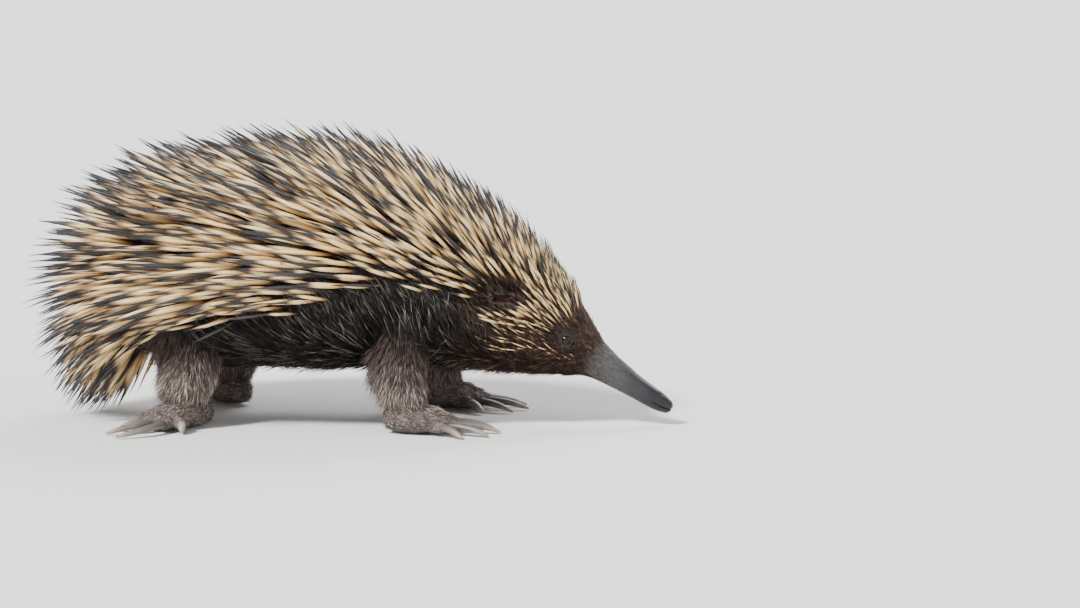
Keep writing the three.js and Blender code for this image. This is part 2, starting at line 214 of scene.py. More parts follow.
body = {
    "tailTip": (-144, 45, 4, 4, 4, 1.5),
    "tailMiddle": (-137, 48, 10, 10, 8, 2.5),
    "tailRoot": (-127, 53, 17, 17, 14, 3),
    "rump": (-113, 60, 36, 36, 28, 4),
    "haunch": (-88, 68, 56, 52, 41, 4.5),
    "loin": (-48, 75, 67, 59, 47, 4.5),
    "back": (-6, 77, 69, 59, 49, 4.5),
    "shoulder": (36, 73, 60, 53, 44, 4.5),
    "neck": (70, 66, 46, 42, 36, 4),
    "crown": (97, 57, 36, 33, 29, 3),
    "brow": (118, 48.5, 27, 24, 22, 1.6),
    "face": (132, 41, 17, 15.5, 15, 0.8),
    "beakRoot": (142, 35, 10.5, 10, 9.5, 0.3),
    "beakMiddle": (159, 24, 7.2, 6.8, 6.6, 0),
    "beakEnd": (174, 14.6, 5.9, 5.4, 5.3, 0),
    "beakTip": (180.5, 10.9, 4.5, 4, 3.9, 0),
    "beakPoint": (183.2, 9.4, 1.5, 1.3, 1.3, 0),
}
bodyFinish = {
    "sides": 0.06,  # how much squarer than an ellipse the sections are
    "belly": 0.08,
    "slope": (0.002, 0.02),  # steps along and round the body over which its slope is measured
    "columns": 112,
    "tailCap": 3 * mm,  # how far the round ends go past the first and last row
    "beakCap": 3.7 * mm,
    "rowSteps": [("tailRoot", 2 * mm), ("neck", 3 * mm), ("brow", 1.3 * mm), ("beakTip", 0.6 * mm)],
}

stationNames = list(body)
stations = np.array(list(body.values())) * mm
bodyLinePoints = np.stack([stations[:, 0], 0 * stations[:, 0], stations[:, 1]], 1)
fineShares = np.linspace(0, 1, 1601)
finePlaces = curveAt(bodyLinePoints, fineShares)[0]
fineDistances = np.concatenate([[0], np.cumsum(np.linalg.norm(np.diff(finePlaces, axis=0), axis=1))])


def lineShare(name, past=0):
    return (stationNames.index(name) + past) / (len(stationNames) - 1)


def distanceAt(t):
    return np.interp(t, fineShares, fineDistances)


def shareAt(distance):
    return np.interp(distance, fineDistances, fineShares)


# The columns of a table of stations, at shares of the line
def columnsAt(table, t):
    shares = [lineShare(name) for name in table]
    return [np.interp(t, shares, column) for column in np.array(list(table.values()), float).T]


def bodyFrame(t):
    centre, along = curveAt(bodyLinePoints, t)
    up = np.stack([-along[..., 2], 0 * along[..., 0], along[..., 0]], -1)
    return centre, along, up


# A point of the body: angle 0 is its left side and a quarter turn is up; inset goes inwards
def bodyPoint(t, angle, inset=0):
    t, angle = np.broadcast_arrays(np.asarray(t, float), np.asarray(angle, float))
    centre, along, up = bodyFrame(t)
    width, above, below = (curveAt(stations[:, 2:5], t)[0][..., i] - inset for i in range(3))
    cos, sin = np.cos(angle), np.sin(angle)
    belly = np.where(sin < 0, bodyFinish["belly"] * sin**2, 0)
    swell = 1 + (bodyFinish["sides"] + belly) * np.sin(2 * angle) ** 2
    sideways = (width * cos * swell)[..., None] * np.array([0, 1, 0])
    return centre + sideways + (np.where(sin > 0, above, below) * sin * swell)[..., None] * up


def bodyNormal(t, angle):
    t, angle = np.broadcast_arrays(np.asarray(t, float), np.asarray(angle, float))
    step, turn = bodyFinish["slope"]
    around = bodyPoint(t, angle + turn) - bodyPoint(t, angle - turn)
    ahead = bodyPoint(np.minimum(t + step, 1), angle) - bodyPoint(np.maximum(t - step, 0), angle)
    return unit(np.cross(around, ahead))


def skinDepth(t):
    return np.interp(t, np.linspace(0, 1, len(stations)), stations[:, 5])


# The skin's rows: where along the line, then how far past its end and how much narrower for the round ends
def skinRows():
    rows = [(0, -math.sin(turn * degree) * bodyFinish["tailCap"], math.cos(turn * degree))
            for turn in (90, 60, 30)]
    start = 0
    for name, step in bodyFinish["rowSteps"]:
        end = distanceAt(lineShare(name))
        count = max(1, round((end - start) / step))
        rows += [(float(shareAt(start + (end - start) * i / count)), 0, 1) for i in range(count)]
        start = end
    rows += [(lineShare("beakTip"), math.sin(turn * degree) * bodyFinish["beakCap"], math.cos(turn * degree))
             for turn in range(0, 91, 9)]
    return np.array(rows)


mouth = {  # mm
    "length": 13,
    "below": (1.2, 4),  # how far it lies below the beak's line, and how far from the tip on
    "groove": (-0.75, 0, 0.38),
    "lips": (0.12, 0.912, 0.38),
    "lipsFrom": 3,
}


def makeBody():
    rows = skinRows()

    def place(around, along):
        t, past, narrow = rows[np.rint(along * (len(rows) - 1)).astype(int)].T
        centre, ahead, up = bodyFrame(t)
        rim = (bodyPoint(t, around * 2 * math.pi, skinDepth(t)) - centre) * narrow[:, None]
        fromTip = (distanceAt(lineShare("beakTip")) + bodyFinish["beakCap"] - distanceAt(t) - past) / mm
        below, start = mouth["below"]
        height = (rim * up).sum(1) / mm + below * smoothStep(0, start, fromTip)
        lips = ridge(np.abs(height), *mouth["lips"]) * smoothStep(0, mouth["lipsFrom"], fromTip)
        depth = ridge(height, *mouth["groove"]) + lips
        depth = depth * smoothStep(mouth["length"], mouth["length"] * 0.7, fromTip)
        side = np.where(past > 0, narrow, 1)[:, None]
        outward = unit(bodyNormal(t, around * 2 * math.pi) * side + ahead * (1 - side))
        return centre + rim + ahead * past[:, None] + outward * (depth * mm)[:, None]

    return rolledGrid("skin", bodyFinish["columns"], len(rows) - 1, place)


# Limbs, in mm as in the solids: each tube's places, with its half width and half height there

frontLeg = {
    "limb": [((40, 37, 54), (19, 17)), ((39, 45, 38), (17, 15)),
             ((43, 51, 22), (13.5, 12)), ((48, 53, 9), (12, 9.5))],
    "foot": [((34, 53, 8.5), (8, 8)), ((44, 53, 8.5), (13, 9.5)),
             ((56, 52.5, 7.5), (15, 8.5)), ((66, 52, 6), (12.5, 6.2))],
    "toeCentre": (51, 52.5, 5.4),
    "toeReach": (9, 17, 20.6),
    "heading": -5,
    "toes": [(-46, 15, 0), (-23, 22, 3), (0, 24, 2), (23, 22, -2), (46, 16, -6)],  # turn, claw's length, bend
    "clawHalf": (2.7, 2.1),
}
hindLeg = {
    "limb": [((-82, 38, 55), (21, 19)), ((-78, 46, 39), (18, 16)),
             ((-79, 52, 23), (14, 13)), ((-81, 54, 10), (11, 10))],
    "foot": [((-70, 44, 8.5), (7, 8)), ((-78, 52, 8.5), (11, 9.5)),
             ((-87, 61, 7.5), (13, 8.5)), ((-94, 68, 6), (11, 6.4))],
    "toeCentre": (-83, 57, 5.4),
    "toeReach": (8, 17, 20.6),
    "heading": 133,
    "toes": [(-62, 5, 0), (-34, 33, 62), (-9, 26, 44), (14, 14, 22), (38, 9, 12)],
    "clawHalf": (2.5, 2.1),
}
legs = {"front": frontLeg, "hind": hindLeg}
sides = {"left": 1, "right": -1}
limbFinish = {
    "toeRadius": (4.4, 4.3, 3.4),
    "tube": (28, 16, 0.3),  # columns, rows, how round the ends are
    "toeTube": (16, 8),
    "inset": 1.3 * mm,  # how far the skin lies in the solid, under its short fur
    "toeInset": 0.5 * mm,
    "voxel": 1.15 * mm,
    "wrinkle": 0.45 * mm,
    "wrinkleSize": 7 * mm,
}


def onSide(point, side):
    return np.array([point[0], point[1] * side, point[2]]) * mm


def headingOf(angle, side):
    return np.array([math.cos(angle * degree), side * math.sin(angle * degree), 0])


def acrossOf(heading):
    return np.array([-heading[1], heading[0], 0])


# A closed tube of oval sections along a curve, with rounded ends
def ovalTube(name, centres, halves, sideways, columns, rows, dome=0.6):
    ends = np.array([90, 65, 35]) * degree
    shares = np.concatenate([0 * ends, np.linspace(0, 1, rows), 0 * ends + 1])
    past = np.concatenate([-np.sin(ends), np.zeros(rows), np.sin(ends[::-1])])
    narrow = np.concatenate([np.cos(ends), np.ones(rows), np.cos(ends[::-1])])

    def place(around, along):
        row = np.rint(along * (len(shares) - 1)).astype(int)
        centre, ahead = curveAt(centres, shares[row])
        half = curveAt(halves, shares[row])[0]
        across = laid(sideways, ahead)
        up = np.cross(ahead, across)
        turn = around * 2 * math.pi
        rim = across * (half[:, 0] * np.cos(turn))[:, None] + up * (half[:, 1] * np.sin(turn))[:, None]
        return centre + rim * narrow[row][:, None] + ahead * (past[row] * half[:, 1] * dome)[:, None]

    return rolledGrid(name, columns, len(shares) - 1, place)


def makeLeg(name, leg, side):
    across = acrossOf(headingOf(leg["heading"], side))
    tubes = []
    for part in ("limb", "foot"):
        centres = [onSide(at, side) for at, half in leg[part]]
        halves = [np.array(half) * mm - limbFinish["inset"] for at, half in leg[part]]
        tubes.append(ovalTube(part, centres, halves, across, *limbFinish["tube"]))
    for turn, _, _ in leg["toes"]:
        ahead = headingOf(leg["heading"] + turn, side)
        centres = [onSide(leg["toeCentre"], side) + ahead * reach * mm for reach in leg["toeReach"]]
        halves = [np.full(2, radius) * mm - limbFinish["toeInset"] for radius in limbFinish["toeRadius"]]
        tubes.append(ovalTube("toe", centres, halves, acrossOf(ahead), *limbFinish["toeTube"]))
    limb = joined(tubes, name)
    limb.data.remesh_voxel_size = limbFinish["voxel"]
    activate(limb)
    bpy.ops.object.voxel_remesh()
    applyModifier(limb, "SMOOTH", factor=0.5, iterations=5)
    points = readPoints(limb)
    normals = np.zeros(points.size, np.float32)
    limb.data.vertices.foreach_get("normal", normals)
    size = limbFinish["wrinkleSize"]
    lumps = drift(points, size, 0) + 0.6 * drift(points, size / 2.7, 1)
    writePoints(limb, points + normals.reshape(-1, 3) * (lumps * limbFinish["wrinkle"])[:, None])

    def cutAtFloor():
        bpy.ops.mesh.bisect(plane_co=(0, 0, 0), plane_no=(0, 0, 1), clear_inner=True, use_fill=True)

    inEditMode(limb, cutAtFloor)
    return limb


# Eyes, ears and nostrils: a station, the share of the way past it and the degrees above the side; then mm.
# The half sizes of ovals round each say where the skin is divided and where no spine and no hair grows

eye = {
    "station": "brow", "past": 0.55, "angle": 14,
    "radius": 4.3,
    "sunk": 2.3,
    "opening": (3.7, 2.75),
    "lids": (0.62, 0.95, 0.12),  # height at the corners, more of it between them, and more on one side
    "lidBand": (0.94, 1.1, 1.14, 2.0),  # this and the next ones count in openings from the middle
    "socket": (-3, 0.9, 1.08),
    "swell": (0.45, 1.2, 3.6),
    "folds": (0.15, 0.4),
    "foldBand": (1.2, 1.5, 2.2, 3.2),
    "divided": (12, 9), "cuts": 3, "deep": 15, "noSpines": (11, 8.5), "noHair": (4.588, 3.41),
}
ear = {
    "station": "crown", "past": -0.2, "angle": 24, "lean": 20,
    "slit": 6.5,
    "pit": (-4.2, 0.45, 1.5),
    "rim": (1.1, 0.5),
    "rimAt": (2.9, 1.2),
    "ripple": (0.12, 2.3),
    "rippleAt": (3, 6),
    "inner": (9, 3.4),  # the oval of reddish skin
    "innerFade": (1.3, 0.8),
    "hairy": (15, 9),  # the oval of longer, more upright hair
    "hairyFade": (1.2, 0.7),
    "divided": (12, 8), "cuts": 3, "deep": 15, "noSpines": (17, 10), "noHair": (8, 2.1),
}
nostril = {
    "station": "beakEnd", "past": 0.15, "angle": 60,
    "half": (1.7, 0.62),
    "pit": (-1.1, 0.4, 1.1),
    "rim": (0.14, 1.6, 0.5),
    "divided": (3.2, 1.8), "cuts": 2, "deep": 3,
}


# A frame on the body's surface: x towards the beak, z outwards
def surfaceFrame(part, side):
    t = lineShare(part["station"], part["past"])
    angle = part["angle"] * degree if side > 0 else math.pi - part["angle"] * degree
    normal = bodyNormal(t, angle)
    forward = laid(bodyFrame(t)[1], normal)
    matrix = Matrix(np.stack([forward, np.cross(normal, forward), normal], 1)).to_4x4()
    matrix.translation = Vector(bodyPoint(t, angle))
    return matrix @ Matrix.Rotation(-side * part.get("lean", 0) * degree, 4, "Z")


def localTo(matrix, points):
    return (np.c_[points, np.ones(len(points))] @ np.array(matrix.inverted()).T)[:, :3] / mm


# How far points are from a part's middle, where 1 is an oval's edge and 99 is out of its depth
def ovalShare(points, part, side, half):
    x, y, z = localTo(surfaceFrame(part, side), points).T
    return np.where(np.abs(z) < part["deep"], np.hypot(x / half[0], y / half[1]), 99)


def inOvals(points, key):
    shares = [ovalShare(points, part, side, part[key]) for part in (eye, ear) for side in sides.values()]
    return np.min(shares, 0) < 1


# Heights above the plain skin, in mm, at places in mm: lids with folds round a socket
def eyeForm(x, y):
    away, turn = np.hypot(x / eye["opening"][0], y / eye["opening"][1]), np.arctan2(y, x)
    corner, more, uneven = eye["lids"]
    lids = (corner + more * np.sin(turn) ** 2 + uneven * np.sin(turn)) * band(away, *eye["lidBand"])
    depth, gap = eye["folds"]
    folds = depth * np.cos(2 * math.pi * (away + 0.12 * np.sin(2 * turn + 1)) / gap)
    folds = folds * band(away, *eye["foldBand"])
    return lids + mound(away, *eye["socket"]) + mound(away, *eye["swell"]) + folds


# A slit between two soft rims, one of them a little the higher
def earForm(x, y):
    away = np.hypot(np.maximum(np.abs(x) - ear["slit"], 0), y)
    height, more = ear["rim"]
    rim = ridge(away, height + more * np.tanh(y / 2), *ear["rimAt"])
    height, pitch = ear["ripple"]
    return mound(away, *ear["pit"]) + rim + mound(away, height * np.sin(pitch * x + y), *ear["rippleAt"])


def nostrilForm(x, y):
    away = np.hypot(x / nostril["half"][0], y / nostril["half"][1])
    return mound(away, *nostril["pit"]) + ridge(away, *nostril["rim"])


carving = {"reach": 1.15, "fade": (1.1, 0.85)}  # in the oval that is divided


# Divides the skin round a part more finely and moves it along the part's own outward axis
def carve(piece, part, side, form):
    inEditMode(piece, lambda: bpy.ops.mesh.select_all(action="DESELECT"))
    inside = ovalShare(readPoints(piece), part, side, part["divided"]) < 1
    piece.data.vertices.foreach_set("select", inside)
    activate(piece)
    bpy.ops.object.mode_set(mode="EDIT")
    bpy.ops.mesh.select_mode(type="VERT")
    bpy.ops.mesh.subdivide(number_cuts=part["cuts"])
    bpy.ops.object.mode_set(mode="OBJECT")
    points, matrix = readPoints(piece), surfaceFrame(part, side)
    share = ovalShare(points, part, side, part["divided"])
    inside = share < carving["reach"]
    x, y, _ = localTo(matrix, points[inside]).T
    height = form(x, y) * smoothStep(*carving["fade"], share[inside]) * mm
    points[inside] += height[:, None] * np.array(matrix.to_3x3().col[2])
    writePoints(piece, points)


# A limb's triangles, from which its fur's roots are drawn
def trianglesOf(piece):
    piece.data.calc_loop_triangles()
    return readPoints(piece)[np.array([triangle.vertices for triangle in piece.data.loop_triangles])]


def makeSkin():
    skin = makeBody()
    for side in sides.values():
        for part, form in ((eye, eyeForm), (ear, earForm), (nostril, nostrilForm)):
            carve(skin, part, side, form)
    limbs = {f"{legName}_{sideName}": makeLeg(f"{legName}_{sideName}", leg, side)
             for legName, leg in legs.items() for sideName, side in sides.items()}
    triangles = {name: trianglesOf(limb) for name, limb in limbs.items()}
    grown = joined(list(limbs.values()), "grown")
    applyModifier(skin, "BOOLEAN", operation="UNION", solver="EXACT", object=grown)
    bpy.data.objects.remove(grown)
    inEditMode(skin, weld)
    skin.data.validate()
    bpy.ops.object.shade_smooth_by_angle(angle=50 * degree)
    return skin, triangles


skin, limbTriangles = makeSkin()
skinTree = BVHTree.FromObject(skin, bpy.context.evaluated_depsgraph_get())
print("skin made", len(skin.data.polygons))


# Strands: spines and hairs are closed tapered shafts, all of a coat piece in one mesh

strandFinish = {
    "patch": 0.003,  # how wide each strand's patch is on the map for baking
    "margin": 0.02,
    "lowest": 1.2 * mm,  # how near the floor a strand's tip may come
    "reach": 9 * mm,  # how far outside the plain body its skin is looked for, and over what distance
    "range": 22.5 * mm,
    "facing": 0.15,  # how far the skin there must face the same way, as a cosine
}


# Moves roots along their normals onto the skin, which drops those that a limb holds inside it
def settled(points, normals):
    places, faces, kept = points.copy(), normals.copy(), np.zeros(len(points), bool)
    for index, (point, normal) in enumerate(zip(points, normals)):
        start = Vector(point + normal * strandFinish["reach"])
        hit, face, _, _ = skinTree.ray_cast(start, Vector(-normal), strandFinish["range"])
        if hit is not None and face.dot(Vector(normal)) > strandFinish["facing"]:
            places[index], faces[index], kept[index] = hit, face, True
    return places, faces, kept


# rings holds the shares of the length and of the width; lift bows the shaft away from the body
def growMesh(name, strand, shape):
    sides, rings = shape["sides"], np.array(shape["rings"])
    count, ringCount = len(strand["root"]), len(rings)
    length, aim = strand["length"], strand["aim"].copy()
    height = strandFinish["lowest"] + strand["half"] - strand["root"][:, 2]
    aim[:, 2] = np.maximum(aim[:, 2], height / length)
    flat = np.linalg.norm(aim[:, :2], axis=1) + 1e-9
    aim[:, :2] *= (np.sqrt(np.clip(1 - aim[:, 2] ** 2, 0.01, 1)) / flat)[:, None]
    aim = unit(aim)
    across = unit(np.cross(strand["out"], aim))
    up = np.cross(aim, across)
    turn = np.arange(sides) / sides * 2 * math.pi
    share = rings[:, 0]
    bow = (strand["lift"][:, None] * (share - share**2))[..., None] * up[:, None]
    centre = strand["root"][:, None] + length[:, None, None] * (aim[:, None] * share[:, None] + bow)
    radius = (strand["half"][:, None] * rings[:, 1])[..., None, None]
    rim = across[:, None, None] * np.cos(turn)[:, None]
    rim = rim + up[:, None, None] * (shape["flat"] * np.sin(turn))[:, None]
    ringPoints = (centre[:, :, None] + radius * rim).reshape(count, -1, 3)
    points = np.concatenate([ringPoints, (strand["root"] + aim * length[:, None])[:, None]], 1)
    perStrand = ringCount * sides + 1

    faces = [list(range(sides))[::-1]]
    spots = [(0.5 + 0.2 * math.cos(a), 0.2 * math.sin(a)) for a in turn[::-1]]
    for ring, low in enumerate(share):
        for side in range(sides):
            here, after = ring * sides + side, ring * sides + (side + 1) % sides
            start, end = side / sides, (side + 1) / sides
            if ring + 1 < ringCount:
                faces.append([here, after, after + sides, here + sides])
                spots += [(start, low), (end, low), (end, share[ring + 1]), (start, share[ring + 1])]
            else:
                faces.append([here, after, perStrand - 1])
                spots += [(start, low), (end, low), ((side + 0.5) / sides, 1)]
    mesh = bpy.data.meshes.new(name)
    faces = [[first + corner for corner in face]
             for first in range(0, count * perStrand, perStrand) for face in faces]
    mesh.from_pydata(points.reshape(-1, 3), [], faces)
    mesh.shade_smooth()

    low, high = strand["spot"].min(0), strand["spot"].max(0)
    margins = strandFinish["margin"], 1 - strandFinish["margin"]
    home = between(margins, (strand["spot"] - low) / (high - low))
    places = home[:, None] + (np.array(spots) - 0.5) * strandFinish["patch"]
    mesh.uv_layers.new(name="OFBake").data.foreach_set("uv", places.astype(np.float32).ravel())
    along = np.clip(np.concatenate([np.repeat(share, sides), [1]]), 0, 1)
    setValues(mesh, "along", np.tile(along, count))
    for key in ("shade", "dark", "warm", "grey"):
        if key in strand:
            setValues(mesh, key, np.repeat(strand[key], perStrand))
    piece = bpy.data.objects.new(name, mesh)
    bpy.context.scene.collection.objects.link(piece)
    return piece


# Random places on the body's surface between two shares of its line, as even as its area is
def bodyPlaces(random, start, end, count):
    t = shareAt(random.uniform(distanceAt(start), distanceAt(end), count * 3))
    angle = random.uniform(-math.pi / 2, math.pi * 3 / 2, count * 3)
    size = curveAt(stations[:, 2:5], t)[0].mean(-1)
    kept = random.uniform(0, size.max(), len(t)) < size
    return t[kept][:count], angle[kept][:count]


# Keeps the places that stand at least their own spacing from all that are kept before them
def spacedOut(points, spacing):
    cell = spacing.max()
    cells, kept = {}, []
    for index, (point, gap) in enumerate(zip(points, spacing)):
        key = tuple(np.floor(point / cell).astype(int))
        near = [k for x in (-1, 0, 1) for y in (-1, 0, 1) for z in (-1, 0, 1)
                for k in cells.get((key[0] + x, key[1] + y, key[2] + z), ())]
        if near and (np.linalg.norm(points[near] - point, axis=1) < gap).any():
            continue
        cells.setdefault(key, []).append(index)
        kept.append(index)
    return np.array(kept)


def chosen(strand, mask):
    return {key: value[mask] for key, value in strand.items()}


def together(parts):
    return {key: np.concatenate([part[key] for part in parts]) for key in parts[0]}


def bySide(name, strand):
    isLeft = np.cos(strand["spot"][:, 0]) > 0
    return {f"{name}_left": chosen(strand, isLeft), f"{name}_right": chosen(strand, ~isLeft)}


def between(pair, share):
    return pair[0] + share * (pair[1] - pair[0])


def elevationOf(angle):
    return np.arcsin(np.sin(angle)) / degree


# Directions that lie back along the body, turned round it and raised from it, and the way out of it
def aimsOf(t, angle, spread, turn):
    forward = bodyFrame(t)[1]
    out = laid(bodyNormal(t, angle), forward)
    return raised(raised(-forward, np.cross(out, forward), turn), out, spread), out


# The coat of spines at stations: how many degrees up the flank it begins, the spines' length in mm
# and how many degrees they spread from the line back along the body, their spacing and half width in mm

coat = {
    "tailTip": (-90, 36, 10, 2.5, 1.05),
    "tailRoot": (-90, 46, 30, 3.0, 1.25),
    "rump": (-20, 47, 36, 3.6, 1.4),
    "haunch": (-8, 49, 36, 4.0, 1.5),
    "loin": (-8, 48, 31, 4.2, 1.55),
    "back": (-2, 46, 31, 4.2, 1.55),
    "shoulder": (16, 44, 40, 4.0, 1.5),
    "neck": (22, 34, 48, 3.6, 1.2),
    "crown": (2, 25, 54, 3.0, 0.85),
    "brow": (20, 17, 48, 2.4, 0.5),
}
spine = {
    "seed": 5,
    "tries": (60000, 9000, 16000),  # for the torso, the tail and the head
    "edgeFade": 12,  # degrees above the coat's edge over which the spines grow to their full size
    "edgeSize": 0.6,
    "edgeChance": 3.5,
    "lengthChance": (0.13, -0.3, 0.15),  # its spread, and its limits
    "halfChance": (0.85, 1.1),
    "spreadChance": 3.5,
    "turnChance": 4.5,
    "clump": (20 * mm, 13, 8),  # size of the groups that lean together, how far they turn and rise in degrees
    "lift": (0.09, 0.03),
    "sag": 1,  # how much the spines of the tail hang
    "darkShare": 0.15,  # of the spines are dark all along
    "darkFrom": (0.73, 0.08),  # the share of the length where the dark tip begins, and its spread
    "darkLimits": (0.15, 0.92),
    "sides": 6,
    "flat": 0.85,
    "rings": [(-0.2, 0.35), (0.02, 0.52), (0.2, 0.86), (0.4, 1), (0.58, 0.84), (0.75, 0.5), (0.9, 0.2)],
}
tailEnd, neckStart = lineShare("tailRoot", 0.2), lineShare("neck", 0.2)  # the torso's coat lies between


def spineStrands(start, end, tries, seed):
    random = np.random.default_rng(seed)
    t, angle = bodyPlaces(random, start, end, tries)
    edge, length, spread, spacing, half = columnsAt(coat, t)
    above = elevationOf(angle) - edge + random.normal(0, spine["edgeChance"], len(t))
    points = bodyPoint(t, angle)
    kept = np.flatnonzero(((above > 0) | (edge < -80)) & ~inOvals(points, "noSpines"))
    kept = kept[spacedOut(points[kept], spacing[kept] * mm)]
    kept = kept[settled(points[kept], bodyNormal(t[kept], angle[kept]))[2]]
    t, angle, root, above = t[kept], angle[kept], points[kept], above[kept]
    length, spread, half, count = length[kept], spread[kept], half[kept], len(kept)
    grown = between((spine["edgeSize"], 1), smoothStep(0, spine["edgeFade"], above))
    grown = np.where(t < lineShare("tailRoot", 0.3), 1, grown)
    chance, least, most = spine["lengthChance"]
    length = length * grown * (1 + random.normal(0, chance, count).clip(least, most)) * mm
    size, swing, rise = spine["clump"]
    spread = spread + random.normal(0, spine["spreadChance"], count) + rise * drift(root, size, 2)
    turn = (random.normal(0, spine["turnChance"], count) + swing * drift(root, size, 3)) * degree
    aim, out = aimsOf(t, angle, spread * degree, turn)
    aim[:, 2] -= spine["sag"] * smoothStep(lineShare("haunch"), lineShare("tailTip"), t)
    shade = random.uniform(0, 1, count)
    dark = random.normal(*spine["darkFrom"], count)
    dark = np.where(random.uniform(0, 1, count) < spine["darkShare"], 0, dark)
    return {
        "root": root, "aim": unit(aim), "out": out, "length": length, "shade": shade,
        "dark": dark.clip(*spine["darkLimits"]),
        "half": half * mm * grown**0.85 * random.uniform(*spine["halfChance"], count),
        "lift": random.normal(*spine["lift"], count),
        "spot": np.stack([angle, distanceAt(t)], 1),
    }


# Thin golden bristles from the ears and the brow's edge down over the cheeks, in mm and degrees
bristle = {
    "seed": 21,
    "tries": 2600,
    "spacing": 2.2,
    "length": (8, 17),
    "half": (0.2, 0.36),
    "spread": (36, 6),
    "droop": (18, 8),
    "between": (-34, 34),
    "ragged": 36,  # how far up from the lower edge they are fewer
}


def cheekBristles():
    random = np.random.default_rng(bristle["seed"])
    t, angle = bodyPlaces(random, lineShare("neck", 0.5), lineShare("face", 0.2), bristle["tries"])
    low, high = bristle["between"]
    height = elevationOf(angle)
    wanted = (height > low + random.uniform(0, bristle["ragged"], len(t))) & (height < high)
    wanted &= random.uniform(0, 1, len(t)) < smoothStep(lineShare("neck", 0.45), lineShare("crown", 0.4), t)
    points = bodyPoint(t, angle)
    kept = np.flatnonzero(wanted & ~inOvals(points, "noSpines"))
    kept = kept[spacedOut(points[kept], np.full(len(kept), bristle["spacing"] * mm))]
    t, angle, count = t[kept], angle[kept], len(kept)
    droop = np.sign(np.cos(angle)) * random.normal(*bristle["droop"], count)
    aim, out = aimsOf(t, angle, random.normal(*bristle["spread"], count) * degree, -droop * degree)
    size = smoothStep(lineShare("face", 0.2), lineShare("crown"), t)
    return {
        "root": bodyPoint(t, angle, skinDepth(t)), "aim": aim, "out": out,
        "length": between(bristle["length"], size) * random.uniform(0.8, 1.2, count) * mm,
        "shade": random.uniform(0.8, 1, count), "dark": random.uniform(0.55, 0.92, count),
        "half": between(bristle["half"], size) * mm,
        "lift": random.normal(0.1, 0.05, count),
        "spot": np.stack([angle, distanceAt(t)], 1),
    }


def makeSpines():
    spans = ((tailEnd, neckStart), (0, tailEnd), (neckStart, lineShare("brow", 0.35)))
    torso, tail, head = (spineStrands(*span, tries, spine["seed"] + index)
                         for index, (span, tries) in enumerate(zip(spans, spine["tries"])))
    print("spines", [len(part["root"]) for part in (torso, tail, head)])
    head = together([head, cheekBristles()])
    groups = {**bySide("spines", torso), "spines_tail": tail, "spines_head": head}
    return [growMesh(name, strand, spine) for name, strand in groups.items()]


spines = makeSpines()


# Fur: where it grows, how thick it stands, how long it is and how flat it lies
# columns: hairs a square centimetre, length and half width in mm, degrees from the skin, degrees of droop

fur = {
    "under": (16, 17, 0.3, 26, 0),  # among the spines
    "flank": (72, 19, 0.24, 17, 20),  # below their edge
    "belly": (24, 10, 0.22, 14, 0),
    "tail": (80, 17, 0.28, 30, 0),
}
headFur = {
    "neck": (76, 16, 0.23, 20, 16),
    "crown": (112, 10, 0.2, 22, 8),
    "brow": (230, 6.5, 0.16, 17, 0),
    "face": (420, 4.2, 0.13, 14, 0),
    "beakRoot": (900, 3, 0.07, 7, 0),
    "beakMiddle": (150, 1.3, 0.04, 6, 0),
}
hair = {
    "seed": 40,
    "lengthChance": 0.25,
    "aimChance": 7,
    "clump": (7 * mm, 24, 14),  # size of the locks, how far they turn and rise in degrees
    "underEdge": (-4, 14),  # degrees from the spines' edge over which the fur changes to that among them
    "bellyEdge": (-38, -62),  # degrees below the side over which it changes to the belly's
    "hang": 46,  # degrees more droop low on the flank
    "hangBand": (-75, -45, -25, 10),
    "sides": 3,
    "flat": 0.7,
    "rings": [(-0.06, 0.8), (0.3, 1), (0.68, 0.62)],
    "nearEye": 0.3,  # how long the hair is on the lids, as a share
    "nearEyeFade": (4, 1.3),
    "tiltLimits": (4, 70),
    "lengthLimits": (-0.5, 0.4),
    "halfChance": (0.7, 1.25),
    "lift": (0.12, 0.08),
    "earHair": (9.5, 38),  # its length in mm and its angle from the skin
}
shortFinish = {**hair, "rings": [(-0.08, 0.9), (0.45, 0.9)]}  # for the face and the legs


def areaBetween(start, end):
    t = shareAt(np.linspace(distanceAt(start), distanceAt(end), 60))
    ring = bodyPoint(t[:, None], np.linspace(0, 2 * math.pi, 49)[None])
    around = np.linalg.norm(np.diff(ring, axis=1), axis=-1).sum(1)
    return around.mean() * (distanceAt(end) - distanceAt(start))


# Rows of fur at places on the torso, the tail and the head
def torsoRows(t, angle):
    height = elevationOf(angle)
    under = smoothStep(*hair["underEdge"], height - columnsAt(coat, t)[0])
    belly = smoothStep(*hair["bellyEdge"], height)
    return [(flank * (1 - belly) + low * belly) * (1 - under) + high * under
            for flank, low, high in zip(fur["flank"], fur["belly"], fur["under"])]


def tailRows(t, angle):
    return fur["tail"]


def headRows(t, angle):
    density, length, half, spread, droop = columnsAt(headFur, t)
    points = bodyPoint(t, angle)
    for side in sides.values():
        near = smoothStep(*hair["nearEyeFade"], ovalShare(points, eye, side, eye["opening"]))
        length = length * (1 - (1 - hair["nearEye"]) * near)
        near = smoothStep(*ear["hairyFade"], ovalShare(points, ear, side, ear["hairy"]))
        length, spread = (between((value, wanted), near)
                          for value, wanted in zip((length, spread), hair["earHair"]))
    return density, length, half, spread, droop


